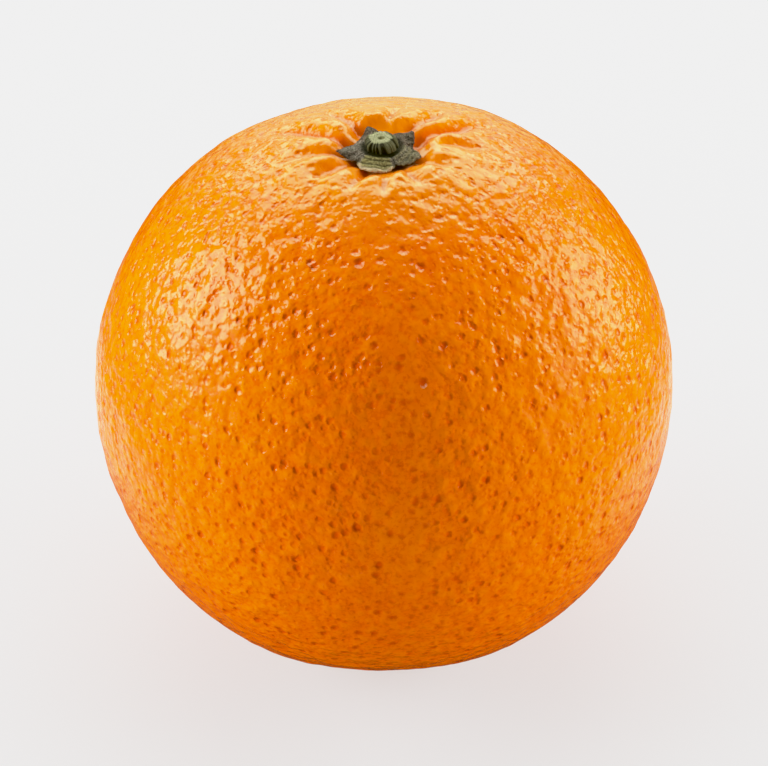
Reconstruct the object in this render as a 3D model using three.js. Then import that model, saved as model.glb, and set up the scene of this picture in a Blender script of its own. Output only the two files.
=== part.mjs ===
// A whole orange, standing on its blossom end, with its dry star of sepals and a cut stub of stem.
// Millimetres, +Z up. The origin is the middle of the small flat spot that the fruit rests on.
import * as THREE from "three";

// Driving dimensions
const bodyRadius = 38; // half the fruit's width, at its equator
const footRadius = 9; // flat spot at the blossom end
const equatorTuck = 0.003; // share of the radius lost at the equator
const shoulderSwell = 0.012; // share of the radius gained half way to each end
const dimpleDepth = 2.1; // stem end, below the round of the body
const dimpleFloor = 3.2; // radius of the dimple's floor
const dimpleRim = 7.8; // radius where the dimple meets the body
const gap = 0.3; // clearance between touching pieces
const discRadius = 3.6; // the round middle that the five sepals grow from
const discThickness = 0.7;
const sepalThickness = 0.35;
const stubRadius = 2.05; // stem stub at its foot
const cutRadius = 1.3; // the cut face on top of it
const stubHeight = 1.6;
const pithRadius = 0.25;
const pithDepth = 0.4;

// Furrows run outwards from the stem. Direction in degrees from +X, the rest in millimetres.
const furrows = [
  { direction: 34, from: 4.5, to: 18, halfWidth: 1.4, depth: 1.1 },
  { direction: 55, from: 5, to: 15, halfWidth: 1.1, depth: 0.7 },
  { direction: 82, from: 6.5, to: 12, halfWidth: 0.9, depth: 0.5 },
  { direction: 124, from: 4.5, to: 15, halfWidth: 1.2, depth: 0.9 },
  { direction: 153, from: 4.5, to: 18, halfWidth: 1.3, depth: 1.1 },
  { direction: 187, from: 5, to: 13.5, halfWidth: 1.1, depth: 0.6 },
  { direction: 214, from: 4.5, to: 13, halfWidth: 1.1, depth: 0.7 },
  { direction: 242, from: 4.5, to: 11.5, halfWidth: 0.9, depth: 0.6 },
  { direction: 270, from: 6, to: 12, halfWidth: 0.9, depth: 0.4 },
  { direction: 298, from: 4.5, to: 11, halfWidth: 0.9, depth: 0.6 },
  { direction: 334, from: 5, to: 12, halfWidth: 0.9, depth: 0.5 },
  { direction: 8, from: 7, to: 14.5, halfWidth: 1.1, depth: 0.6 },
];

// Sepals, fused at the disc. reach is the tip's distance from the axis, and lift how far it curls up.
const sepals = [
  { direction: 41, reach: 5.3, taper: 1.4, lift: 0.7 },
  { direction: 110, reach: 5.2, taper: 1.9, lift: 0.6 },
  { direction: 188, reach: 5.8, taper: 1.5, lift: 0.5 },
  { direction: 257, reach: 5.2, taper: 0.6, lift: 0.1 },
  { direction: 335, reach: 5.4, taper: 1.1, lift: 0.3 },
];
const sepalHalfAngle = 36; // degrees either side of a sepal's middle

const smooth = THREE.MathUtils.smoothstep;
const degrees = THREE.MathUtils.degToRad;

function turnBetween(angle, direction) {
  const turn = angle - degrees(direction);
  return Math.atan2(Math.sin(turn), Math.cos(turn));
}

// The body's distance from its centre at a latitude: a sphere with slightly squared shoulders.
function radiusAt(latitude) {
  const shoulder = Math.sin(2 * latitude) ** 2;
  return bodyRadius * (1 - equatorTuck + shoulderSwell * shoulder);
}

function furrowDepth(angle, radius) {
  let depth = 0;
  for (const furrow of furrows) {
    const turn = turnBetween(angle, furrow.direction);
    if (Math.abs(turn) > Math.PI / 2) continue;
    const aside = (radius * Math.sin(turn)) / furrow.halfWidth;
    const along = radius * Math.cos(turn);
    const fadeIn = smooth(along, furrow.from - 1.5, furrow.from + 1.5);
    const fadeOut = 1 - smooth(along, 0.6 * furrow.to, furrow.to);
    depth = Math.max(depth, furrow.depth * fadeIn * fadeOut * Math.exp(-aside * aside));
  }
  return depth;
}

const footLatitude = -Math.acos(footRadius / radiusAt(-Math.acos(footRadius / bodyRadius)));
const equatorHeight = -radiusAt(footLatitude) * Math.sin(footLatitude);

// Height of the skin around the stem, above the flat spot.
function stemEndHeight(angle, radius) {
  const latitude = Math.acos(Math.min(radius / bodyRadius, 1));
  const dimple = dimpleDepth * (1 - smooth(radius, dimpleFloor, dimpleRim));
  const round = equatorHeight + radiusAt(latitude) * Math.sin(latitude);
  return round - dimple - furrowDepth(angle, radius);
}

// Turns a profile of [radius, height] about Z, then moves each point to where place says.
function turned(profile, segments, place) {
  const outline = profile.map(([radius, height]) => new THREE.Vector2(radius, height));
  const geometry = new THREE.LatheGeometry(outline, segments);
  geometry.rotateX(Math.PI / 2);
  const position = geometry.getAttribute("position");
  for (let i = 0; i < position.count; i += 1) {
    const x = position.getX(i);
    const y = position.getY(i);
    const moved = place(Math.atan2(y, x), Math.hypot(x, y), position.getZ(i));
    position.setXYZ(i, moved.radius * Math.cos(moved.angle), moved.radius * Math.sin(moved.angle), moved.z);
  }
  geometry.computeVertexNormals();
  return geometry;
}

function piece(name, geometry, color, roughness) {
  const material = new THREE.MeshStandardMaterial({ color, roughness, metalness: 0 });
  const mesh = new THREE.Mesh(geometry, material);
  mesh.name = name;
  return mesh;
}

// The fruit: one body, with finer rings at the stem end where the dimple and furrows are.
function fruit() {
  const sideRings = 20;
  const stemRings = 14;
  const stemEndRadius = 18;
  const segments = 72;
  const stemEndLatitude = Math.acos(stemEndRadius / bodyRadius);
  const profile = [[0, 0]];
  for (let i = 0; i <= sideRings; i += 1) {
    const latitude = THREE.MathUtils.lerp(footLatitude, stemEndLatitude, i / sideRings);
    const reach = radiusAt(latitude);
    profile.push([reach * Math.cos(latitude), equatorHeight + reach * Math.sin(latitude)]);
  }
  const outermost = profile.at(-1)[0];
  for (let i = stemRings - 1; i >= 0; i -= 1) {
    const radius = (outermost * i) / stemRings;
    profile.push([radius, stemEndHeight(0, radius)]);
  }
  const geometry = turned(profile, segments, (angle, radius, z) => {
    const onStemEnd = z > equatorHeight && radius < outermost - 0.01;
    return { angle, radius, z: onStemEnd ? stemEndHeight(angle, radius) : z };
  });
  return piece("fruit", geometry, 0xf28a12, 0.42);
}

// Distance from the axis to the edge of the star of sepals.
function calyxEdge(angle) {
  let edge = discRadius;
  for (const sepal of sepals) {
    const turn = Math.abs(turnBetween(angle, sepal.direction)) / degrees(sepalHalfAngle);
    const share = Math.max(1 - turn, 0) ** sepal.taper;
    edge = Math.max(edge, discRadius + (sepal.reach - discRadius) * share);
  }
  return edge;
}

// How far the sepals curl up off the skin.
function calyxLift(angle, radius) {
  let lift = 0;
  for (const sepal of sepals) {
    const turn = Math.abs(turnBetween(angle, sepal.direction)) / degrees(sepalHalfAngle);
    const outwards = smooth(radius, discRadius, sepal.reach);
    lift = Math.max(lift, sepal.lift * outwards * Math.max(1 - turn, 0));
  }
  return lift;
}

const calyxUnderside = stemEndHeight(0, 0) + gap;
const calyxTop = calyxUnderside + discThickness;

// The calyx: five dry sepals fused round a disc, lying in the dimple.
function calyx() {
  const rings = 6;
  const segments = 80;
  const profile = [];
  for (let i = 0; i <= rings; i += 1) profile.push([i / rings, -1]);
  for (let i = rings; i >= 0; i -= 1) profile.push([i / rings, 1]);
  const geometry = turned(profile, segments, (angle, share, side) => {
    const radius = share * calyxEdge(angle);
    const rest = Math.max(stemEndHeight(angle, radius) + gap, calyxUnderside);
    const under = rest + calyxLift(angle, radius);
    const thickness = THREE.MathUtils.lerp(discThickness, sepalThickness, smooth(share, 0.4, 1));
    return { angle, radius, z: side > 0 ? under + thickness : under };
  });
  return piece("calyx", geometry, 0x6f6748, 0.9);
}

// The stem stub: ribbed sides, drawn in towards the cut face, with a pith hole in the middle.
function stemStub() {
  const ribs = 9;
  const ribDepth = 0.09;
  const foot = calyxTop + gap;
  const top = foot + stubHeight;
  const profile = [
    [0, foot],
    [0.8 * stubRadius, foot],
    [stubRadius, foot + 0.3],
    [stubRadius, foot + 0.5 * stubHeight],
    [0.93 * stubRadius, top - 0.4],
    [cutRadius + 0.08, top - 0.12],
    [cutRadius - 0.1, top],
    [pithRadius, top],
    [0.6 * pithRadius, top - pithDepth],
    [0, top - pithDepth],
  ];
  const geometry = turned(profile, 54, (angle, radius, z) => {
    const rib = ribDepth * smooth(radius, 1, 1.5) * Math.cos(ribs * angle);
    return { angle, radius: radius + rib, z };
  });
  return piece("stem_stub", geometry, 0x8f9358, 0.85);
}

const orange = new THREE.Group();
orange.add(fruit(), calyx(), stemStub());

export default orange;
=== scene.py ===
import math

import bpy
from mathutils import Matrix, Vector


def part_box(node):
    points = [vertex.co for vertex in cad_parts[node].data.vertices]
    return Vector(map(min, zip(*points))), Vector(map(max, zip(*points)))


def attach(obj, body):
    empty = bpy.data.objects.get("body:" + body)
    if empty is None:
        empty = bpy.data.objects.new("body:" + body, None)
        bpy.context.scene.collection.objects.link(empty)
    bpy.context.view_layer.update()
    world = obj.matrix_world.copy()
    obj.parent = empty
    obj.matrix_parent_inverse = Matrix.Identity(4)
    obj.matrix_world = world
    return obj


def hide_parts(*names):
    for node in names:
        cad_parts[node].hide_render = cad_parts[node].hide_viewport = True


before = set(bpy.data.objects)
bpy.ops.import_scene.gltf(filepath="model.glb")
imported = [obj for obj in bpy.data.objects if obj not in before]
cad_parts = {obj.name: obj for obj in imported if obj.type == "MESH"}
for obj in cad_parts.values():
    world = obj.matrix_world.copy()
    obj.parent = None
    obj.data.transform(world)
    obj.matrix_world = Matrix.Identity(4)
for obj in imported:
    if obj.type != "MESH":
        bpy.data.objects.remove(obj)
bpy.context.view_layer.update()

mm = 0.001
print("frame loaded")


# small helpers, used for every piece

def clearSelection():
    if bpy.context.object and bpy.context.object.mode != "OBJECT":
        bpy.ops.object.mode_set(mode="OBJECT")
    bpy.ops.object.select_all(action="DESELECT")


def selectOnly(piece):
    clearSelection()
    piece.select_set(True)
    bpy.context.view_layer.objects.active = piece


def applyModifier(piece, kind, **settings):
    selectOnly(piece)
    bpy.ops.object.modifier_add(type=kind)
    modifier = piece.modifiers[-1]
    for name, value in settings.items():
        setattr(modifier, name, value)
    bpy.ops.object.modifier_apply(modifier=modifier.name)


# node helpers: they work in shader trees and in geometry trees alike

def wire(tree, value, socket):
    if isinstance(value, bpy.types.NodeSocket):
        tree.links.new(value, socket)
    else:
        socket.default_value = value


def calc(tree, operation, *values):
    node = tree.nodes.new("ShaderNodeMath")
    node.operation = operation
    for value, socket in zip(values, node.inputs):
        wire(tree, value, socket)
    return node.outputs[0]


def calcVector(tree, operation, *values, output=0):
    node = tree.nodes.new("ShaderNodeVectorMath")
    node.operation = operation
    for value, socket in zip(values, node.inputs):
        wire(tree, value, socket)
    return node.outputs[output]


def dot(tree, first, second):
    return calcVector(tree, "DOT_PRODUCT", first, second, output=1)


def lengthOf(tree, vector):
    return calcVector(tree, "LENGTH", vector, output=1)


def scaled(tree, vector, factor):
    node = tree.nodes.new("ShaderNodeVectorMath")
    node.operation = "SCALE"
    wire(tree, vector, node.inputs[0])
    wire(tree, factor, node.inputs["Scale"])
    return node.outputs[0]


def split(tree, vector):
    node = tree.nodes.new("ShaderNodeSeparateXYZ")
    wire(tree, vector, node.inputs[0])
    return node.outputs[0], node.outputs[1], node.outputs[2]


def joined(tree, x, y, z):
    node = tree.nodes.new("ShaderNodeCombineXYZ")
    for value, socket in zip((x, y, z), node.inputs):
        wire(tree, value, socket)
    return node.outputs[0]


def product(tree, *values):
    result = values[0]
    for value in values[1:]:
        result = calc(tree, "MULTIPLY", result, value)
    return result


def total(tree, *values):
    result = values[0]
    for value in values[1:]:
        result = calc(tree, "ADD", result, value)
    return result


def remap(tree, value, low, high, toLow=0.0, toHigh=1.0, smooth=True):
    node = tree.nodes.new("ShaderNodeMapRange")
    node.interpolation_type = "SMOOTHSTEP" if smooth else "LINEAR"
    for name, entry in (("Value", value), ("From Min", low), ("From Max", high),
                        ("To Min", toLow), ("To Max", toHigh)):
        wire(tree, entry, node.inputs[name])
    return node.outputs[0]


# a share that grows from start to full, and shrinks again from ebb to end
def band(tree, value, start, full, ebb, end):
    return product(tree, remap(tree, value, start, full), remap(tree, value, ebb, end, 1.0, 0.0))


def cloud(tree, position, size, detail=2.0, output=0):
    node = tree.nodes.new("ShaderNodeTexNoise")
    wire(tree, position, node.inputs["Vector"])
    isSocket = isinstance(size, bpy.types.NodeSocket)
    wire(tree, calc(tree, "DIVIDE", 1.0, size) if isSocket else 1 / size, node.inputs["Scale"])
    node.inputs["Detail"].default_value = detail
    return node.outputs[output]


# clouds around zero, as one number and as a vector
def unevenness(tree, position, size, detail=1.0):
    return calc(tree, "SUBTRACT", cloud(tree, position, size, detail), 0.5)


def drift(tree, position, size):
    return calcVector(tree, "SUBTRACT", cloud(tree, position, size, 1.0, output=1), (0.5, 0.5, 0.5))


def blend(tree, amount, first, second):
    node = tree.nodes.new("ShaderNodeMix")
    node.data_type = "RGBA"
    wire(tree, amount, node.inputs["Factor"])
    wire(tree, first, node.inputs[6])
    wire(tree, second, node.inputs[7])
    return node.outputs[2]


def stored(tree, name, output="Fac"):
    node = tree.nodes.new("ShaderNodeAttribute")
    node.attribute_name = name
    return node.outputs[output]


def newGroup(name, treeType, inputs, outputs):
    tree = bpy.data.node_groups.new(name, treeType)
    for way, sockets in (("INPUT", inputs), ("OUTPUT", outputs)):
        for socket, kind in sockets.items():
            tree.interface.new_socket(socket, in_out=way, socket_type="NodeSocket" + kind)
    start = tree.nodes.new("NodeGroupInput")
    end = tree.nodes.new("NodeGroupOutput")
    return tree, start.outputs, end.inputs


def geometryGroup(name):
    sockets = {"Geometry": "Geometry"}
    tree, given, result = newGroup(name, "GeometryNodeTree", sockets, sockets)
    return tree, given["Geometry"], result["Geometry"]


def meshPosition(tree):
    return tree.nodes.new("GeometryNodeInputPosition").outputs[0]


def moved(tree, geometry, place, socket="Position"):
    node = tree.nodes.new("GeometryNodeSetPosition")
    tree.links.new(geometry, node.inputs["Geometry"])
    tree.links.new(place, node.inputs[socket])
    return node.outputs[0]


def storeField(tree, geometry, name, kind, value):
    node = tree.nodes.new("GeometryNodeStoreNamedAttribute")
    node.data_type = kind
    node.domain = "POINT"
    tree.links.new(geometry, node.inputs["Geometry"])
    node.inputs["Name"].default_value = name
    tree.links.new(value, node.inputs["Value"])
    return node.outputs["Geometry"]


# the direction that lies this many degrees from +X, level
def levelDirection(degrees):
    return math.cos(math.radians(degrees)), math.sin(math.radians(degrees)), 0.0


# peel relief: hollows of three sizes over soft lumps, all in millimetres of the skin's own position

peel = {  # relief in millimetres, then the skin's colours and gloss
    # the least of a kind's hollows has this share of its depth; the shift keeps the kinds apart
    "wells": {"spacing": 2.5, "radius": 0.72, "depth": 0.28, "least": 0.3, "shift": (0.0, 0.0, 0.0)},
    "pits": {"spacing": 1.4, "radius": 0.62, "depth": 0.2, "least": 0.2, "shift": (31.0, 17.0, 9.0)},
    "pores": {"spacing": 0.75, "radius": 0.33, "depth": 0.06, "least": 0.2, "shift": (7.0, 3.0, 21.0)},
    "irregular": 0.85, "narrowest": 0.7, "widest": 1.1, "hollowFloor": 0.2,
    "wobbleSize": 0.8, "wobble": 0.3,
    "lumpSize": 3.0, "lumpHeight": 0.6,
    "rippleSize": 1.15, "rippleHeight": 0.14,
    "cellSize": 1.45, "cellHeight": 0.19, "cellSoftness": 0.35,
    # the next share sets how strongly the painted shade falls in the pits
    "pitShadeShare": 0.8,  # how strongly the pits are coloured, against the wells
    "meshShare": 0.6,  # how much of the lumps is in the mesh; bump has the rest
    "skin": (0.88, 0.14, 0.0003, 1), "paleSkin": (0.89, 0.158, 0.0004, 1),
    "speckle": (0.93, 0.172, 0.0006, 1),
    # after the grain: painted light on the raised skin, then painted shade in its low parts
    "grain": (0.72, 0.078, 0.0003, 1), "ridge": (0.95, 0.2, 0.0006, 1), "hollowShade": (0.7, 0.08, 0.0003, 1),
    # painted shade in the pits
    "pitShade": (0.57, 0.045, 0.0003, 1),
    # the second colour here is painted light: yellower on the far shoulder, where the light from behind
    # falls
    "nearStem": (0.88, 0.24, 0.0008, 1), "farShoulderLight": (0.9, 0.23, 0.0008, 1),
    # painted shade: near black under the calyx, and deeper orange in the furrows
    "shadeUnderCalyx": (0.1, 0.028, 0.003, 1), "furrowShade": (0.62, 0.062, 0.0003, 1),
    "scar": (0.12, 0.055, 0.015, 1),
    "glossiest": 0.09, "mattest": 0.15, "underCalyxMatt": 0.6, "refraction": 1.42,
}


def hollows(tree, position, kind):
    voronoi = tree.nodes.new("ShaderNodeTexVoronoi")
    wire(tree, calcVector(tree, "ADD", position, kind["shift"]), voronoi.inputs["Vector"])
    voronoi.inputs["Scale"].default_value = 1 / kind["spacing"]
    voronoi.inputs["Randomness"].default_value = peel["irregular"]
    distance = product(tree, voronoi.outputs["Distance"], kind["spacing"])
    chance = split(tree, voronoi.outputs["Color"])[0]
    width = product(tree, kind["radius"],
                    remap(tree, chance, 0.0, 1.0, peel["narrowest"], peel["widest"], smooth=False))
    hollow = remap(tree, calc(tree, "DIVIDE", distance, width), peel["hollowFloor"], 1.0, 1.0, 0.0)
    mask = product(tree, hollow, remap(tree, chance, 0.0, 1.0, kind["least"], 1.0, smooth=False))
    return product(tree, mask, -kind["depth"]), mask


def peelReliefGroup(treeType):
    tree, given, result = newGroup("peelRelief", treeType, {"Position": "Vector", "Fade": "Float"},
                                   {"Coarse": "Float", "Fine": "Float", "ShadedPits": "Float"})
    position = given["Position"]
    uneven = scaled(tree, drift(tree, position, peel["wobbleSize"]), peel["wobble"])
    uneven = calcVector(tree, "ADD", position, uneven)
    wellHeight, wells = hollows(tree, uneven, peel["wells"])
    pitHeight, pits = hollows(tree, uneven, peel["pits"])
    poreHeight, _ = hollows(tree, uneven, peel["pores"])
    lumps = product(tree, unevenness(tree, position, peel["lumpSize"]), peel["lumpHeight"])
    ripples = product(tree, unevenness(tree, position, peel["rippleSize"]), peel["rippleHeight"])
    cells = tree.nodes.new("ShaderNodeTexVoronoi")
    cells.feature = "SMOOTH_F1"
    wire(tree, uneven, cells.inputs["Vector"])
    cells.inputs["Scale"].default_value = 1 / peel["cellSize"]
    cells.inputs["Smoothness"].default_value = peel["cellSoftness"]
    domes = product(tree, calc(tree, "SUBTRACT", 0.5, cells.outputs["Distance"]), peel["cellHeight"])
    fine = total(tree, ripples, domes, wellHeight, pitHeight, poreHeight)
    # where the wells and pits get painted shade
    pitShadeMask = calc(tree, "MAXIMUM", wells, product(tree, pits, peel["pitShadeShare"]))
    for name, value in (("Coarse", lumps), ("Fine", fine), ("ShadedPits", pitShadeMask)):
        tree.links.new(product(tree, value, given["Fade"]), result[name])
    return tree


# fruit: a cube of quads rounded into the body, with its dimple, furrows, foot and pits

fruitLow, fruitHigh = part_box("fruit")
fruit = {  # millimetres, and shares of the radius for tuck and swell
    "radius": 38.0, "equatorTuck": 0.003, "shoulderSwell": 0.012, "meshLevels": 7,
    "lumpSpread": 0.62, "lumpiness": 0.5,
    "footRadius": 9.0, "footEdge": 0.5, "dentRadius": 0.5, "dentRim": 2.8, "dentDepth": 0.5,
    "dimpleDepth": 1.45, "dimpleFloor": 3.8, "dimpleRim": 7.6,
    "snug": 0.8,  # the dimple's width between the sepals, as a share of its width under them
    "recess": 0.6, "recessFloor": 2.5, "recessRim": 5.0,  # under the calyx
    "lobeHeight": 0.4, "lobeBand": (4.5, 7.6, 7.6, 16.0),  # swollen ring round the dimple
    "wrinkle": 0.5, "wrinkleBand": (4.5, 6.5, 7.5, 11.0), "wrinkleTurns": 4.0, "wrinkleSize": 0.55,
    "furrowWander": 2.2, "wanderSize": 5.0, "furrowStart": 1.5, "furrowEbb": 0.55, "furrowShape": 1.35,
    "pitStretch": 2.0,
}
furrows = [  # degrees from +X, then millimetres
    {"direction": 34, "near": 4, "far": 19, "halfWidth": 1.2, "depth": 1.4},
    {"direction": 55, "near": 5, "far": 16, "halfWidth": 1.0, "depth": 0.9},
    {"direction": 82, "near": 6.5, "far": 12.5, "halfWidth": 0.7, "depth": 0.6},
    {"direction": 124, "near": 4, "far": 15.5, "halfWidth": 1.0, "depth": 1.1},
    {"direction": 153, "near": 4, "far": 19, "halfWidth": 1.0, "depth": 1.3},
    {"direction": 187, "near": 4, "far": 14, "halfWidth": 1.0, "depth": 0.8},
    {"direction": 214, "near": 4, "far": 13, "halfWidth": 1.0, "depth": 0.9},
    {"direction": 242, "near": 4, "far": 11.5, "halfWidth": 0.8, "depth": 0.8},
    {"direction": 270, "near": 6, "far": 12, "halfWidth": 0.7, "depth": 0.5},
    {"direction": 298, "near": 4, "far": 11, "halfWidth": 0.8, "depth": 0.8},
    {"direction": 334, "near": 4, "far": 12, "halfWidth": 0.8, "depth": 0.6},
    {"direction": 8, "near": 7, "far": 15, "halfWidth": 1.0, "depth": 0.8},
]
sepals = [  # degrees from +X, then millimetres; a blunt one is torn off short
    {"direction": 41, "reach": 5.3, "taper": 1.3, "lift": 0.45, "blunt": 0.0, "brown": 1.0},
    {"direction": 110, "reach": 5.2, "taper": 2.2, "lift": 0.4, "blunt": 0.0, "brown": 1.0},
    {"direction": 188, "reach": 5.8, "taper": 1.4, "lift": 0.3, "blunt": 0.0, "brown": 0.3},
    {"direction": 257, "reach": 5.2, "taper": 0.45, "lift": 0.05, "blunt": 1.0, "brown": 0.0},
    {"direction": 335, "reach": 5.35, "taper": 1.0, "lift": 0.2, "blunt": 0.5, "brown": 0.1},
]
flats = [  # soft flats on the body: direction, depth in millimetres, and how wide they spread
    {"toward": (-0.12, 0.6, 0.79), "depth": 0.5, "spread": 0.12},
    {"toward": (0.0, -0.61, -0.79), "depth": 0.5, "spread": 0.06},
    {"toward": (-1.0, -0.05, 0.0), "depth": -0.25, "spread": 0.1},
]
footLatitude = -math.acos(fruit["footRadius"] / fruit["radius"])
footReach = fruit["radius"] * (1 - fruit["equatorTuck"]
                               + fruit["shoulderSwell"] * math.sin(2 * footLatitude) ** 2)
equatorHeight = -footReach * math.sin(footLatitude)


# the body's radius: a sphere with slightly squared shoulders, a few soft lumps and the flats
def bodyReach(tree, direction, latitude):
    radius = fruit["radius"]
    squared = product(tree, latitude, latitude)
    shoulder = product(tree, calc(tree, "SUBTRACT", 1.0, squared), squared, 4.0)
    reach = calc(tree, "MULTIPLY_ADD", shoulder, radius * fruit["shoulderSwell"],
                 radius * (1 - fruit["equatorTuck"]))
    lumps = unevenness(tree, direction, fruit["lumpSpread"])
    reach = calc(tree, "MULTIPLY_ADD", lumps, fruit["lumpiness"], reach)
    for patch in flats:
        facing = dot(tree, direction, Vector(patch["toward"]).normalized())
        sunk = remap(tree, facing, 1 - patch["spread"], 1.0, 0.0, patch["depth"])
        reach = calc(tree, "SUBTRACT", reach, sunk)
    return reach


def furrowField(tree, flat):
    deepest = 0.0
    for furrow in furrows:
        along = dot(tree, flat, levelDirection(furrow["direction"]))
        aside = dot(tree, flat, levelDirection(furrow["direction"] + 90))
        aside = calc(tree, "ABSOLUTE", calc(tree, "DIVIDE", aside, furrow["halfWidth"]))
        steep = calc(tree, "POWER", aside, fruit["furrowShape"])
        across = calc(tree, "EXPONENT", product(tree, steep, -1.0))
        length = band(tree, along, furrow["near"] - fruit["furrowStart"],
                      furrow["near"] + fruit["furrowStart"],
                      furrow["far"] * fruit["furrowEbb"], furrow["far"])
        deepest = calc(tree, "MAXIMUM", deepest, product(tree, length, furrow["depth"], across))
    return deepest


# the dimple follows the star of sepals, and is narrower between them
def dimpleWidth(tree, flat):
    underSepal = 0.0
    for sepal in sepals:
        aligned = dot(tree, calcVector(tree, "NORMALIZE", flat), levelDirection(sepal["direction"]))
        underSepal = calc(tree, "MAXIMUM", underSepal, remap(tree, aligned, 0.7, 0.99))
    return remap(tree, underSepal, 0.0, 1.0, fruit["snug"], 1.0)


# how far the skin sinks at the stem end: the dimple, less the lobes and wrinkles that rise round it
def dimpleField(tree, bent, fromStem, fromAxis, furrow):
    dimple = remap(tree, fromStem, fruit["dimpleFloor"], fruit["dimpleRim"], fruit["dimpleDepth"], 0.0)
    recess = remap(tree, fromAxis, fruit["recessFloor"], fruit["recessRim"], fruit["recess"], 0.0)
    outsideFurrow = remap(tree, furrow, 0.0, 0.5, 1.0, 0.0)
    lobe = product(tree, band(tree, fromStem, *fruit["lobeBand"]), outsideFurrow)
    spokes = scaled(tree, calcVector(tree, "NORMALIZE", bent), fruit["wrinkleTurns"])
    wrinkle = product(tree, unevenness(tree, spokes, fruit["wrinkleSize"]),
                      band(tree, fromStem, *fruit["wrinkleBand"]), fruit["wrinkle"])
    raised = calc(tree, "MULTIPLY_ADD", lobe, fruit["lobeHeight"], wrinkle)
    return calc(tree, "SUBTRACT", total(tree, dimple, recess), raised)


# the skin's own position, stretched around the stem so that the pits there run outwards
def skinPlace(tree, direction, latitude, fromAxis):
    pull = remap(tree, latitude, 0.6, 0.93, 0.0, fruit["pitStretch"])
    safe = calc(tree, "MAXIMUM", fromAxis, 0.5)
    widen = calc(tree, "DIVIDE", lengthOf(tree, joined(tree, safe, pull, 0.0)), safe)
    onSphere = scaled(tree, direction, fruit["radius"])
    return calcVector(tree, "MULTIPLY", onSphere, joined(tree, widen, widen, 1.0))


def fruitShapeTree():
    tree, geometry, end = geometryGroup("fruitShape")
    corner = split(tree, meshPosition(tree))
    evened = [calc(tree, "TANGENT", product(tree, value, math.pi / 4)) for value in corner]
    direction = calcVector(tree, "NORMALIZE", joined(tree, *evened))
    latitude = split(tree, direction)[2]
    x, y, z = split(tree, scaled(tree, direction, bodyReach(tree, direction, latitude)))

    # stem end: a dimple with furrows that run out from it
    flat = joined(tree, x, y, 0.0)
    wander = fruit["furrowWander"]
    wander = calcVector(tree, "MULTIPLY", drift(tree, flat, fruit["wanderSize"]), (wander, wander, 0.0))
    bent = calcVector(tree, "ADD", flat, wander)
    fromAxis = lengthOf(tree, flat)
    fromStem = calc(tree, "DIVIDE", lengthOf(tree, bent), dimpleWidth(tree, flat))
    stemEnd = remap(tree, latitude, 0.5, 0.7)
    furrow = product(tree, furrowField(tree, bent), stemEnd)
    dimple = product(tree, dimpleField(tree, bent, fromStem, fromAxis, furrow), stemEnd)
    z = calc(tree, "SUBTRACT", z, total(tree, dimple, furrow))

    # blossom end: flattened where it stands, with a small dent in the middle
    underside = remap(tree, latitude, -0.7, -0.5, 1.0, 0.0)
    z = calc(tree, "SMOOTH_MAX", z, -equatorHeight, fruit["footEdge"])
    dent = remap(tree, fromAxis, fruit["dentRadius"], fruit["dentRim"], fruit["dentDepth"], 0.0)
    z = total(tree, z, product(tree, dent, underside), equatorHeight)

    # smooth inside the furrows and on the dimple's wall
    nearStem = product(tree, remap(tree, fromStem, 5.5, 8.0, 0.85, 0.2),
                       remap(tree, fromStem, 9.0, 16.0, 1.0, 0.0))
    inFurrow = remap(tree, furrow, 0.2, 1.0, 0.0, 0.7)
    calm = calc(tree, "MAXIMUM", product(tree, nearStem, stemEnd), inFurrow)

    # the fields are stored first, as each of them starts from the cube's corners
    skin = skinPlace(tree, direction, latitude, fromAxis)
    geometry = storeField(tree, geometry, "skinPosition", "FLOAT_VECTOR", skin)
    geometry = storeField(tree, geometry, "pitFade", "FLOAT", calc(tree, "SUBTRACT", 1.0, calm))
    geometry = storeField(tree, geometry, "furrowDepth", "FLOAT", furrow)
    standing = ((fruitLow[0] + fruitHigh[0]) / 2, (fruitLow[1] + fruitHigh[1]) / 2, fruitLow[2])
    place = calcVector(tree, "ADD", scaled(tree, joined(tree, x, y, z), mm), standing)
    geometry = moved(tree, geometry, place)

    relief = tree.nodes.new("GeometryNodeGroup")
    relief.node_tree = peelReliefGroup("GeometryNodeTree")
    for name, kind, socket in (("skinPosition", "FLOAT_VECTOR", "Position"), ("pitFade", "FLOAT", "Fade")):
        field = tree.nodes.new("GeometryNodeInputNamedAttribute")
        field.data_type = kind
        field.inputs["Name"].default_value = name
        tree.links.new(field.outputs[0], relief.inputs[socket])
    normal = tree.nodes.new("GeometryNodeInputNormal").outputs[0]
    lumps = product(tree, relief.outputs["Coarse"], peel["meshShare"] * mm)
    geometry = moved(tree, geometry, scaled(tree, normal, lumps), "Offset")

    # nothing reaches below the surface that the fruit stands on
    x, y, z = split(tree, meshPosition(tree))
    geometry = moved(tree, geometry, joined(tree, x, y, calc(tree, "MAXIMUM", z, fruitLow[2])))
    tree.links.new(geometry, end)
    return tree


def makeFruit():
    clearSelection()
    bpy.ops.mesh.primitive_cube_add(size=2, location=(0, 0, 0))
    body = bpy.context.object
    body.name = "orange_body"
    layer = body.data.uv_layers[0]
    layer.name = "OFBake"  # each side of the cube gets its own cell in a sheet of three by two
    margin = 0.006
    for side in body.data.polygons:
        column, row = side.index % 3, side.index // 3
        for step, corner in enumerate(side.loop_indices):
            across = margin if step in (0, 3) else 1 - margin
            up = margin if step in (0, 1) else 1 - margin
            layer.data[corner].uv = ((column + across) / 3, (row + up) / 2)
    levels = fruit["meshLevels"]
    applyModifier(body, "SUBSURF", subdivision_type="SIMPLE", levels=levels, render_levels=levels)
    applyModifier(body, "NODES", node_group=fruitShapeTree())
    selectOnly(body)
    bpy.ops.object.shade_smooth()
    return body


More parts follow.
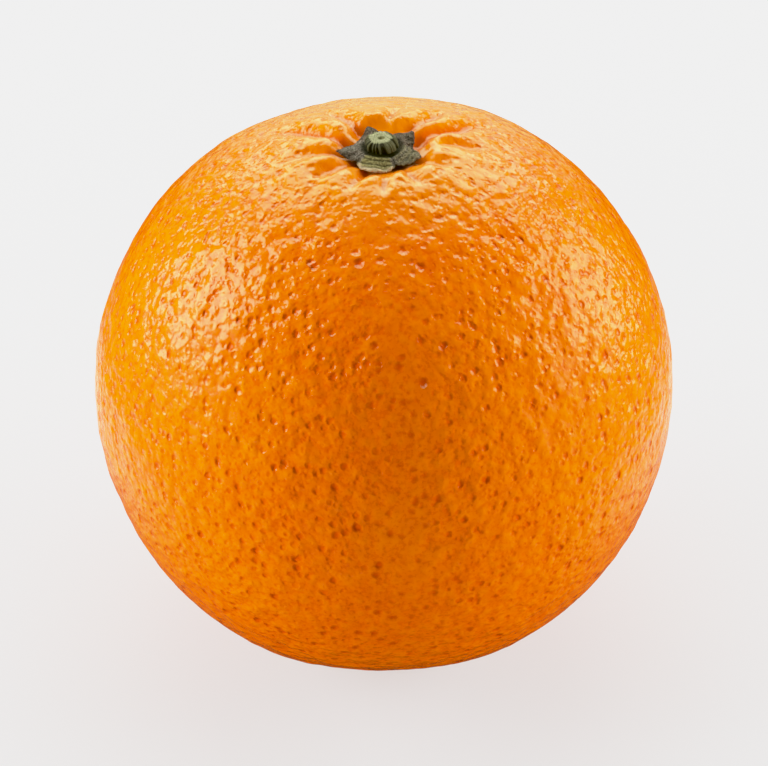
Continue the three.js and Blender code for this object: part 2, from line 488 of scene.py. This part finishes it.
def peelMaterial():
    material = bpy.data.materials.new("orangePeel")
    material.use_nodes = True
    tree = material.node_tree
    shader = tree.nodes["Principled BSDF"]
    position = stored(tree, "skinPosition", "Vector")
    relief = tree.nodes.new("ShaderNodeGroup")
    relief.node_tree = peelReliefGroup("ShaderNodeTree")
    tree.links.new(position, relief.inputs["Position"])
    tree.links.new(stored(tree, "pitFade"), relief.inputs["Fade"])
    fine = relief.outputs["Fine"]

    bump = tree.nodes.new("ShaderNodeBump")
    bump.inputs["Strength"].default_value = 1.0
    bump.inputs["Distance"].default_value = mm
    height = calc(tree, "MULTIPLY_ADD", relief.outputs["Coarse"], 1 - peel["meshShare"], fine)
    tree.links.new(height, bump.inputs["Height"])
    tree.links.new(bump.outputs[0], shader.inputs["Normal"])

    # where things are: millimetres from the core line, metres up and behind it
    place = tree.nodes.new("ShaderNodeTexCoord").outputs["Object"]
    _, behind, rise = split(tree, place)
    broad = cloud(tree, position, 22.0)
    flat = scaled(tree, calcVector(tree, "MULTIPLY", place, (1.0, 1.0, 0.0)), 1 / mm)
    fromStem = calc(tree, "MULTIPLY_ADD", broad, 1.2, lengthOf(tree, flat))
    onTop = remap(tree, rise, 0.05, 0.06)
    underneath = remap(tree, rise, 0.004, 0.002)
    # where the painted shade under the calyx lies; the skin there is also made matt
    shadeUnderCalyx = product(tree, onTop, remap(tree, fromStem, 4.0, 5.4, 0.95, 0.0))

    # orange, with painted light on the ridges and painted shade in the low skin, the pits, the furrows and
    # under the calyx; yellower round the stem, and yellower still behind it as painted light
    colour = blend(tree, remap(tree, broad, 0.35, 0.65), peel["skin"], peel["paleSkin"])
    layers = (
        ("speckle", remap(tree, cloud(tree, position, 0.9, 3.0), 0.45, 0.75, 0.0, 0.5)),
        ("grain", remap(tree, cloud(tree, position, 0.5), 0.52, 0.38, 0.0, 0.5)),
        # painted light on the raised skin and painted shade in its low parts, set by the relief's height
        ("ridge", remap(tree, fine, -0.03, 0.06, 0.0, 0.45)),
        ("hollowShade", remap(tree, fine, -0.25, -0.02, 0.75, 0.0)),
        # painted shade in the wells and pits
        ("pitShade", product(tree, calc(tree, "POWER", relief.outputs["ShadedPits"], 1.7), 0.55)),
        ("nearStem", product(tree, onTop, remap(tree, fromStem, 5.0, 20.0, 0.6, 0.0))),
        # painted light: yellower on the far shoulder, where the light from behind falls
        ("farShoulderLight", product(tree, onTop, remap(tree, behind, 0.004, 0.02, 0.0, 0.6))),
        ("shadeUnderCalyx", shadeUnderCalyx),
        # painted shade, deeper in the deeper furrows
        ("furrowShade", remap(tree, stored(tree, "furrowDepth"), 0.25, 1.1, 0.0, 0.65)),
        ("scar", product(tree, underneath, remap(tree, fromStem, 1.2, 2.4, 0.9, 0.0))),
    )
    for name, amount in layers:
        colour = blend(tree, amount, colour, peel[name])
    tree.links.new(colour, shader.inputs["Base Color"])

    shine = remap(tree, cloud(tree, position, 1.6, 3.0), 0.3, 0.7, peel["glossiest"], peel["mattest"])
    roughness = calc(tree, "MULTIPLY_ADD", shadeUnderCalyx, peel["underCalyxMatt"], shine)
    tree.links.new(roughness, shader.inputs["Roughness"])
    shader.inputs["IOR"].default_value = peel["refraction"]
    return material


body = makeFruit()
body.data.materials.clear()
body.data.materials.append(peelMaterial())
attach(body, "root")
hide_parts("fruit")
print("fruit made:", len(body.data.polygons), "faces")


# calyx and stem stub: a sheet of quads wrapped round the stem, x once around, y from underneath to the top

offAxis = -0.25 * mm  # the calyx and the stub grew a little to one side


def makeWrapped(name, around, along, shapeTree):
    clearSelection()
    bpy.ops.mesh.primitive_grid_add(x_subdivisions=around, y_subdivisions=along, size=2, location=(0, 0, 0))
    piece = bpy.context.object
    piece.name = name
    piece.data.uv_layers[0].name = "OFBake"
    applyModifier(piece, "NODES", node_group=shapeTree)
    applyModifier(piece, "WELD", merge_threshold=0.001 * mm)
    selectOnly(piece)
    bpy.ops.object.mode_set(mode="EDIT")
    bpy.ops.mesh.select_mode(type="VERT")
    bpy.ops.mesh.select_all(action="SELECT")
    bpy.ops.mesh.normals_make_consistent(inside=False)
    selectOnly(piece)
    bpy.ops.object.shade_smooth()
    return piece


def wrapStart(name):
    tree, geometry, end = geometryGroup(name)
    across, up, _ = split(tree, meshPosition(tree))
    angle = product(tree, across, math.pi)
    ring = joined(tree, calc(tree, "COSINE", angle), calc(tree, "SINE", angle), 0.0)
    return tree, geometry, end, ring, up


# millimetres in the sheet's own frame, put on the stem at this height
def onStem(tree, geometry, place, foot):
    return moved(tree, geometry, calcVector(tree, "ADD", scaled(tree, place, mm), (offAxis, 0.0, foot)))


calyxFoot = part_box("calyx")[0][2]
calyx = {  # millimetres, then the fibres' looks and the colours
    "disc": 3.75, "halfAngle": 38, "thickness": 0.62, "edgeThickness": 0.22, "raised": 0.25,
    "tipCurl": 2.5, "marginDroop": -0.22, "waveSize": 1.6, "waveHeight": 0.8, "bluntThickening": 0.12,
    "collar": 0.3, "collarBand": (2.2, 2.8, 2.8, 3.8), "ridgeHeight": 0.12,
    "raggedness": 0.5, "woolSize": 0.42, "wool": 0.34, "foldHeight": 0.4,
    "stepHeight": 0.06, "stepPitch": 9.5,
    "roughness": 0.85, "fibreSize": 0.16, "grainSize": 0.2, "bumpDepth": 0.65,
    "darkGrey": (0.035, 0.03, 0.024, 1), "grey": (0.25, 0.22, 0.17, 1), "fibre": (0.36, 0.33, 0.25, 1),
    "patch": (0.05, 0.045, 0.03, 1), "darkOlive": (0.1, 0.085, 0.028, 1), "olive": (0.26, 0.23, 0.085, 1),
    "step": (0.05, 0.042, 0.014, 1), "darkBrown": (0.022, 0.012, 0.008, 1), "brown": (0.13, 0.09, 0.06, 1),
    # the last colour here is painted shade round the foot of the stub
    "tip": (0.045, 0.024, 0.012, 1), "torn": (0.52, 0.42, 0.24, 1), "shadeRoundStub": (0.012, 0.011, 0.007, 1),
}


# how far the star reaches, and what each sepal adds, all round the ring
def sepalFields(tree, ring):
    edge, lift, ridge, blunt, brown = calyx["disc"], 0.0, 0.0, 0.0, 0.0
    for sepal in sepals:
        aligned = dot(tree, ring, levelDirection(sepal["direction"]))
        turn = calc(tree, "ARCCOSINE", calc(tree, "MINIMUM", calc(tree, "MAXIMUM", aligned, -1.0), 1.0))
        turn = calc(tree, "DIVIDE", turn, math.radians(calyx["halfAngle"]))
        inside = calc(tree, "MAXIMUM", calc(tree, "SUBTRACT", 1.0, turn), 0.0)
        near = remap(tree, turn, 0.75, 1.0, 1.0, 0.0)
        reach = calc(tree, "MULTIPLY_ADD", calc(tree, "POWER", inside, sepal["taper"]),
                     sepal["reach"] - calyx["disc"], calyx["disc"])
        edge = calc(tree, "MAXIMUM", edge, reach)
        lift = calc(tree, "MAXIMUM", lift, product(tree, inside, sepal["lift"]))
        ridge = calc(tree, "MAXIMUM", ridge, remap(tree, turn, 0.0, 0.4, 1.0, 0.0))
        blunt = calc(tree, "MAXIMUM", blunt, product(tree, near, sepal["blunt"]))
        brown = calc(tree, "MAXIMUM", brown, product(tree, near, sepal["brown"]))
    return edge, lift, ridge, blunt, brown


# what stands up from the calyx's upper side: collar, midribs, wool, folds, and steps on the blunt sepal
def calyxTop(tree, ring, radius, outward, ridge, blunt):
    collar = product(tree, band(tree, radius, *calyx["collarBand"]), calyx["collar"])
    midrib = product(tree, ridge, outward, calyx["ridgeHeight"])
    wool = unevenness(tree, scaled(tree, ring, radius), calyx["woolSize"], 3.0)
    woolly = product(tree, wool, calyx["wool"], remap(tree, radius, 1.6, 2.6))
    folds = unevenness(tree, scaled(tree, ring, 5.0), 0.5, 2.0)
    folded = product(tree, folds, calyx["foldHeight"], remap(tree, radius, 2.2, 3.4),
                     calc(tree, "SUBTRACT", 1.0, blunt))
    steps = calc(tree, "MULTIPLY_ADD", wool, 2.5, product(tree, radius, calyx["stepPitch"]))
    steps = calc(tree, "SINE", steps)
    stepped = product(tree, steps, calyx["stepHeight"], blunt, remap(tree, radius, 2.4, 3.0))
    return total(tree, collar, midrib, woolly, folded, stepped), steps


def calyxShapeTree():
    tree, geometry, end, ring, up = wrapStart("calyxShape")
    share = calc(tree, "SUBTRACT", 1.0, calc(tree, "ABSOLUTE", up))
    outward = remap(tree, share, 0.45, 1.0)
    edge, lift, ridge, blunt, brown = sepalFields(tree, ring)
    ragged = product(tree, unevenness(tree, scaled(tree, ring, 5.0), 0.5, 3.0), calyx["raggedness"],
                     calc(tree, "MULTIPLY_ADD", blunt, 1.2, 0.8))
    radius = product(tree, share, calc(tree, "MULTIPLY_ADD", ragged, outward, edge))
    flat = scaled(tree, ring, radius)
    x, y, _ = split(tree, flat)

    # height: curled up at the tips, drooping at the margins
    tip = product(tree, calc(tree, "POWER", share, calyx["tipCurl"]), lift)
    bow = product(tree, outward, calc(tree, "SUBTRACT", 1.0, ridge), calyx["marginDroop"])
    waves = product(tree, unevenness(tree, flat, calyx["waveSize"]), calyx["waveHeight"], outward)
    half = remap(tree, share, 0.4, 0.9, calyx["thickness"] / 2, calyx["edgeThickness"] / 2)
    half = calc(tree, "MULTIPLY_ADD", blunt, product(tree, outward, calyx["bluntThickening"]), half)
    rounded = calc(tree, "SQRT", calc(tree, "SUBTRACT", 1.0, calc(tree, "POWER", share, 12.0)))
    side = product(tree, half, rounded, calc(tree, "SIGN", up))
    top, steps = calyxTop(tree, ring, radius, outward, ridge, blunt)
    height = total(tree, tip, bow, waves, side, product(tree, top, remap(tree, up, -0.02, 0.06)),
                   calyx["thickness"] / 2 + calyx["raised"])

    around = scaled(tree, ring, 6.0)
    fibre = calcVector(tree, "ADD", around, joined(tree, 0.0, 0.0, product(tree, radius, 0.6)))
    geometry = storeField(tree, geometry, "fibre", "FLOAT_VECTOR", fibre)
    geometry = storeField(tree, geometry, "flatPlace", "FLOAT_VECTOR", flat)
    for name, value in (("outward", share), ("blunt", blunt), ("brown", brown), ("steps", steps)):
        geometry = storeField(tree, geometry, name, "FLOAT", value)
    tree.links.new(onStem(tree, geometry, joined(tree, x, y, height), calyxFoot), end)
    return tree


# dry fibres and fine wool, shared by both woody pieces
def dryFibreGroup():
    tree, given, result = newGroup(
        "dryFibre", "ShaderNodeTree",
        {"Fibre": "Vector", "Place": "Vector", "Fibre Size": "Float", "Grain Size": "Float",
         "Depth": "Float"},
        {"Fibre": "Float", "Grain": "Float", "Normal": "Vector"})
    fibre = cloud(tree, given["Fibre"], given["Fibre Size"], 3.0)
    grain = cloud(tree, given["Place"], given["Grain Size"], 3.0)
    bump = tree.nodes.new("ShaderNodeBump")
    tree.links.new(product(tree, total(tree, fibre, grain), 0.3), bump.inputs["Height"])
    tree.links.new(given["Depth"], bump.inputs["Distance"])
    for name, value in (("Fibre", fibre), ("Grain", grain), ("Normal", bump.outputs[0])):
        tree.links.new(value, result[name])
    return tree


dryFibre = dryFibreGroup()


def dryMaterial(name, placeName, finish):
    material = bpy.data.materials.new(name)
    material.use_nodes = True
    tree = material.node_tree
    shader = tree.nodes["Principled BSDF"]
    shader.inputs["Specular IOR Level"].default_value = 0.25
    shader.inputs["Roughness"].default_value = finish["roughness"]
    fibres = tree.nodes.new("ShaderNodeGroup")
    fibres.node_tree = dryFibre
    place = stored(tree, placeName, "Vector")
    tree.links.new(stored(tree, "fibre", "Vector"), fibres.inputs["Fibre"])
    tree.links.new(place, fibres.inputs["Place"])
    fibres.inputs["Fibre Size"].default_value = finish["fibreSize"]
    fibres.inputs["Grain Size"].default_value = finish["grainSize"]
    fibres.inputs["Depth"].default_value = finish["bumpDepth"] * mm
    tree.links.new(fibres.outputs["Normal"], shader.inputs["Normal"])
    return material, tree, shader, place, fibres.outputs["Fibre"], fibres.outputs["Grain"]


def calyxMaterial():
    material, tree, shader, place, fibre, wool = dryMaterial("drySepal", "flatPlace", calyx)
    blunt = stored(tree, "blunt")
    outward = stored(tree, "outward")
    fibrous = product(tree, remap(tree, fibre, 0.4, 0.7), 0.5)
    patchy = product(tree, remap(tree, cloud(tree, place, 1.3, 3.0), 0.45, 0.7), 0.6)
    grey = blend(tree, remap(tree, wool, 0.38, 0.66), calyx["darkGrey"], calyx["grey"])
    grey = blend(tree, fibrous, grey, calyx["fibre"])
    grey = blend(tree, patchy, grey, calyx["patch"])
    olive = blend(tree, remap(tree, wool, 0.3, 0.7), calyx["darkOlive"], calyx["olive"])
    olive = blend(tree, remap(tree, stored(tree, "steps"), 0.2, -1.0), olive, calyx["step"])
    brown = blend(tree, remap(tree, wool, 0.35, 0.7), calyx["darkBrown"], calyx["brown"])
    colour = blend(tree, blunt, grey, olive)
    colour = blend(tree, product(tree, stored(tree, "brown"), 0.75), colour, brown)
    pointed = calc(tree, "SUBTRACT", 1.0, blunt)
    tip = product(tree, remap(tree, outward, 0.82, 1.0), pointed, 0.7)
    colour = blend(tree, tip, colour, calyx["tip"])
    torn = product(tree, remap(tree, outward, 0.86, 0.97), remap(tree, blunt, 0.4, 1.0), 0.8)
    colour = blend(tree, torn, colour, calyx["torn"])
    # painted shade: the calyx turns near black round the foot of the stub
    stubFootShade = remap(tree, lengthOf(tree, place), 2.1, 3.0, 0.92, 0.0)
    colour = blend(tree, stubFootShade, colour, calyx["shadeRoundStub"])
    tree.links.new(colour, shader.inputs["Base Color"])
    return material


calyxPiece = makeWrapped("orange_calyx", 300, 64, calyxShapeTree())
calyxPiece.data.materials.clear()
calyxPiece.data.materials.append(calyxMaterial())
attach(calyxPiece, "root")
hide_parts("calyx")
print("calyx made:", len(calyxPiece.data.polygons), "faces")


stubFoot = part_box("stem_stub")[0][2]
stub = {  # millimetres, then the fibres' looks and the colours
    "height": 1.3, "ribDepth": 0.15, "lean": -0.3, "tiltAside": 0.1, "tiltBack": 0.03, "raised": 0.1,
    "facetDepth": 0.7, "cutGrainSize": 0.22, "cutGrainHeight": 0.2,
    "outline": [  # share of the way, radius, share of the height: foot, wall, cut face, pith hole
        (0.0, 0.0, 0.0), (0.1, 1.75, 0.0), (0.16, 2.0, 0.07), (0.3, 2.02, 0.3), (0.46, 1.92, 0.58),
        (0.58, 1.7, 0.8), (0.66, 1.4, 0.95), (0.71, 1.17, 1.0), (0.84, 0.6, 0.96), (0.9, 0.3, 0.93),
        (0.94, 0.2, 0.82), (1.0, 0.0, 0.76),
    ],
    "roughness": 0.75, "fibreSize": 0.12, "grainSize": 0.13, "bumpDepth": 0.4,
    # the first colour is painted shade in the grooves between the ribs
    "grooveShade": (0.007, 0.006, 0.004, 1), "rib": (0.06, 0.058, 0.024, 1), "fibre": (0.15, 0.15, 0.07, 1),
    "shade": (0.008, 0.007, 0.004, 1), "darkCut": (0.19, 0.2, 0.08, 1), "cut": (0.42, 0.43, 0.23, 1),
    "pith": (0.13, 0.12, 0.04, 1),
}


def alongCurve(tree, share, outline, column, scale):
    node = tree.nodes.new("ShaderNodeFloatCurve")
    points = node.mapping.curves[0].points
    points[0].location = (0.0, outline[0][column] / scale)
    points[-1].location = (1.0, outline[-1][column] / scale)
    for row in outline[1:-1]:
        points.new(row[0], row[column] / scale)
    node.mapping.update()
    wire(tree, share, node.inputs["Value"])
    return product(tree, node.outputs[0], scale)


def stubShapeTree():
    tree, geometry, end, ring, up = wrapStart("stubShape")
    way = remap(tree, up, -1.0, 1.0, smooth=False)
    radius = alongCurve(tree, way, stub["outline"], 1, 2.5)
    rise = alongCurve(tree, way, stub["outline"], 2, 1.0)

    # ribs down the wall, and uneven facets round the cut
    around = scaled(tree, ring, 2.0)
    ribs = calc(tree, "MULTIPLY_ADD", cloud(tree, around, 0.28, 1.0), 0.8, cloud(tree, around, 0.62, 1.0))
    ribs = remap(tree, ribs, 0.7, 1.1, -1.0, 1.0)
    wall = product(tree, remap(tree, way, 0.08, 0.2), remap(tree, way, 0.6, 0.74, 1.0, 0.35),
                   remap(tree, radius, 0.5, 1.3))
    radius = total(tree, radius, product(tree, ribs, wall, stub["ribDepth"]))
    facets = unevenness(tree, scaled(tree, ring, 1.3), 0.9, 0.0)
    cut = product(tree, remap(tree, way, 0.55, 0.66), remap(tree, radius, 0.5, 1.2))
    radius = total(tree, radius, product(tree, facets, cut, stub["facetDepth"]))
    x, y, _ = split(tree, scaled(tree, ring, radius))
    x = calc(tree, "MULTIPLY_ADD", rise, stub["lean"], x)

    # height: grainy and a little tilted on top
    grains = unevenness(tree, joined(tree, x, y, 0.0), stub["cutGrainSize"], 2.0)
    face = remap(tree, way, 0.655, 0.7)
    tilted = remap(tree, rise, 0.3, 1.0)
    height = total(tree, product(tree, rise, stub["height"]),
                   product(tree, grains, face, stub["cutGrainHeight"]),
                   product(tree, x, tilted, stub["tiltAside"]),
                   product(tree, y, tilted, stub["tiltBack"]))
    place = joined(tree, x, y, height)
    fibre = calcVector(tree, "ADD", around, joined(tree, 0.0, 0.0, product(tree, height, 0.15)))
    for name, value in (("face", face), ("ribs", product(tree, ribs, wall)), ("rise", rise)):
        geometry = storeField(tree, geometry, name, "FLOAT", value)
    for name, value in (("place", place), ("fibre", fibre)):
        geometry = storeField(tree, geometry, name, "FLOAT_VECTOR", value)
    tree.links.new(onStem(tree, geometry, place, stubFoot + stub["raised"] * mm), end)
    return tree


def stubMaterial():
    material, tree, shader, place, fibre, grain = dryMaterial("cutStem", "place", stub)
    ribs = stored(tree, "ribs")
    # painted shade: near black in the grooves between the ribs
    side = blend(tree, remap(tree, ribs, -0.7, 0.9), stub["grooveShade"], stub["rib"])
    side = blend(tree, product(tree, remap(tree, fibre, 0.45, 0.7), 0.5), side, stub["fibre"])
    # painted shade: the wall darkens toward its foot, most in the grooves
    low = remap(tree, stored(tree, "rise"), 0.05, 0.75, 0.95, 0.0)
    side = blend(tree, product(tree, low, remap(tree, ribs, 1.2, -0.2)), side, stub["shade"])
    cut = blend(tree, remap(tree, grain, 0.35, 0.65), stub["darkCut"], stub["cut"])
    fromCentre = lengthOf(tree, calcVector(tree, "MULTIPLY", place, (1.0, 1.0, 0.0)))
    cut = blend(tree, remap(tree, fromCentre, 0.25, 0.5, 0.9, 0.0), cut, stub["pith"])
    colour = blend(tree, stored(tree, "face"), side, cut)
    tree.links.new(colour, shader.inputs["Base Color"])
    return material


stubPiece = makeWrapped("orange_stem_stub", 200, 80, stubShapeTree())
stubPiece.data.materials.clear()
stubPiece.data.materials.append(stubMaterial())
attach(stubPiece, "root")
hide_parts("stem_stub")
print("stub made:", len(stubPiece.data.polygons), "faces")


# studio: pale floor, soft lights, camera

studio = {  # metres and degrees, but millimetres for the lens and the sensor
    "aim": (0.0, 0.0, equatorHeight * mm), "cameraDistance": 0.38, "cameraElevation": 37.5,
    "lens": 134.5, "sensorWidth": 36, "nearClip": 0.01,
    "floorRadius": 4, "floorRoughness": 0.9,
    "shown": 1.2,  # strength of the floor's glow and of the world, as the camera sees them
    "floorLight": 1.25,  # strength of the floor's glow, as it lights the fruit
    "floorGrey": (0.55, 0.5),  # the floor's own grey, as seen and as it lights the fruit
    "white": (1, 1, 1, 1), "warmWhite": (1.0, 1.0, 0.6, 1),
}


# placed away from the fruit in this direction, and turned towards it
def aimedAtFruit(piece, away, distance):
    piece.location = Vector(studio["aim"]) + away * distance
    piece.rotation_euler = (-away).to_track_quat("-Z", "Y").to_euler()


def makeCamera():
    data = bpy.data.cameras.new("camera")
    camera = bpy.data.objects.new("camera", data)
    bpy.context.scene.collection.objects.link(camera)
    rise = math.radians(studio["cameraElevation"])
    aimedAtFruit(camera, Vector((0, -math.cos(rise), math.sin(rise))), studio["cameraDistance"])
    data.lens = studio["lens"]
    data.sensor_width = studio["sensorWidth"]
    data.clip_start = studio["nearClip"]
    bpy.context.scene.camera = camera


# what the camera sees, what lights the fruit and what mirrors in it each get their own strength
def rayStrength(tree, seen, diffuse, glossy):
    path = tree.nodes.new("ShaderNodeLightPath")
    strength = calc(tree, "MULTIPLY", path.outputs["Is Camera Ray"], seen)
    strength = calc(tree, "MULTIPLY_ADD", path.outputs["Is Diffuse Ray"], diffuse, strength)
    return calc(tree, "MULTIPLY_ADD", path.outputs["Is Glossy Ray"], glossy, strength)


# white to the camera, and warm where it mirrors in the skin
def warmMirror(tree):
    mirroredRay = tree.nodes.new("ShaderNodeLightPath").outputs["Is Glossy Ray"]
    return blend(tree, mirroredRay, studio["white"], studio["warmWhite"])


# the floor mirrors brightly far behind the fruit and, weakly, in a ring close behind it
def floorMirrored(tree, place, away):
    aside, behind, _ = split(tree, place)
    inLine = calc(tree, "MULTIPLY_ADD", calc(tree, "ABSOLUTE", aside), -1.3, behind)
    closeBy = product(tree, remap(tree, away, 0.075, 0.12, 0.75, 0.01), remap(tree, behind, -0.04, 0.02),
                      remap(tree, away, 0.045, 0.07, 0.15, 1.0))
    return calc(tree, "MAXIMUM", closeBy, remap(tree, inLine, 0.08, 0.25, 0.01, 1.1))


def makeFloor():
    clearSelection()
    bpy.ops.mesh.primitive_circle_add(vertices=96, radius=studio["floorRadius"], fill_type="NGON",
                                      location=(0, 0, 0))
    floor = bpy.context.object
    floor.name = "floor"
    material = bpy.data.materials.new("paleFloor")
    material.use_nodes = True
    tree = material.node_tree
    shader = tree.nodes["Principled BSDF"]
    place = tree.nodes.new("ShaderNodeTexCoord").outputs["Object"]
    away = lengthOf(tree, place)
    mirrored = floorMirrored(tree, place, away)
    grey = rayStrength(tree, *studio["floorGrey"], mirrored)
    tint = tree.nodes.new("ShaderNodeCombineColor")
    for socket in tint.inputs:
        tree.links.new(grey, socket)
    tree.links.new(tint.outputs[0], shader.inputs["Base Color"])
    shader.inputs["Roughness"].default_value = studio["floorRoughness"]
    shader.inputs["Specular IOR Level"].default_value = 0.0
    glow = tree.nodes.new("ShaderNodeEmission")
    strength = rayStrength(tree, studio["shown"], studio["floorLight"], mirrored)
    tree.links.new(strength, glow.inputs["Strength"])
    tree.links.new(warmMirror(tree), glow.inputs["Color"])

    # the glow takes over further out, so that the soft shadow lies on an even ground
    mix = tree.nodes.new("ShaderNodeMixShader")
    tree.links.new(remap(tree, away, 0.03, 0.16, 0.45, 1.0), mix.inputs[0])
    tree.links.new(shader.outputs[0], mix.inputs[1])
    tree.links.new(glow.outputs[0], mix.inputs[2])
    tree.links.new(mix.outputs[0], tree.nodes["Material Output"].inputs["Surface"])
    floor.data.materials.append(material)


def makeWorld():
    world = bpy.data.worlds.new("studio")
    bpy.context.scene.world = world
    world.cycles.sampling_method = "NONE"  # found by rays alone, which each know what they are for
    world.use_nodes = True
    tree = world.node_tree
    background = tree.nodes["Background"]
    aside, behind, above = split(tree, tree.nodes.new("ShaderNodeTexCoord").outputs["Generated"])
    inLine = calc(tree, "MULTIPLY_ADD", calc(tree, "ABSOLUTE", aside), -1.5, behind)
    mirrored = remap(tree, inLine, 0.35, 0.85, 0.01, 1.25)
    front = calc(tree, "MULTIPLY_ADD", behind, -0.75, product(tree, above, 0.66))
    room = remap(tree, front, 0.0, 0.95, 0.92, 0.08)
    tree.links.new(rayStrength(tree, studio["shown"], room, mirrored), background.inputs["Strength"])
    tree.links.new(warmMirror(tree), background.inputs["Color"])


lamps = [  # a mirrored one only shows in the skin's shine, any other only lights it; metres and watts
    {"name": "leftShine", "toward": (-0.886, 0.14, 0.443), "distance": 0.5, "size": (0.28, 0.36),
     "power": 2.2, "colour": (1.0, 1.0, 0.75), "mirrored": True},
    {"name": "rightShine", "toward": (0.896, 0.339, 0.288), "distance": 0.5, "size": (0.27, 0.34),
     "power": 1.35, "colour": (1.0, 0.98, 0.6), "mirrored": True},
    {"name": "backShine", "toward": (0.0, 0.75, 0.66), "distance": 0.6, "size": (0.8, 0.5),
     "power": 6.2, "colour": (1.0, 1.0, 0.68), "mirrored": True},
    {"name": "leftFill", "toward": (-0.95, 0.05, 0.16), "distance": 0.5, "size": (0.4, 0.4),
     "power": 6.4, "colour": (1.0, 1.0, 1.0), "mirrored": False},
    {"name": "rightFill", "toward": (0.95, 0.12, 0.12), "distance": 0.5, "size": (0.4, 0.4),
     "power": 6.0, "colour": (1.0, 1.0, 1.0), "mirrored": False},
    {"name": "topFill", "toward": (0.0, 0.6, 0.8), "distance": 0.6, "size": (0.6, 0.5),
     "power": 2.5, "colour": (1.0, 1.0, 1.0), "mirrored": False},
]


def softLight(lamp):
    data = bpy.data.lights.new(lamp["name"], "AREA")
    data.shape = "RECTANGLE"
    data.size, data.size_y = lamp["size"]
    data.energy = lamp["power"]
    data.color = lamp["colour"]
    light = bpy.data.objects.new(lamp["name"], data)
    bpy.context.scene.collection.objects.link(light)
    aimedAtFruit(light, Vector(lamp["toward"]).normalized(), lamp["distance"])
    light.visible_camera = False
    light.visible_glossy = lamp["mirrored"]
    light.visible_diffuse = not lamp["mirrored"]


makeCamera()
makeFloor()
makeWorld()
for lamp in lamps:
    softLight(lamp)


# tone: a soft shoulder, so that strongly lit skin stays orange and nothing turns flat white
toneWhite = 4.0
toneShoulder = ((0.5, 0.5), (0.8, 0.74), (1.2, 0.87), (2.0, 0.94))  # light given, light shown
view = bpy.context.scene.view_settings
view.view_transform = "Standard"
view.use_curve_mapping = True
view.curve_mapping.white_level = (toneWhite, toneWhite, toneWhite)
view.curve_mapping.black_level = (0.0, 0.0, 0.006)
tone = view.curve_mapping.curves[3]
tone.points[-1].location = (1.0, 1.0)
for given, shown in toneShoulder:
    tone.points.new(given / toneWhite, shown)
view.curve_mapping.update()
print("studio made")
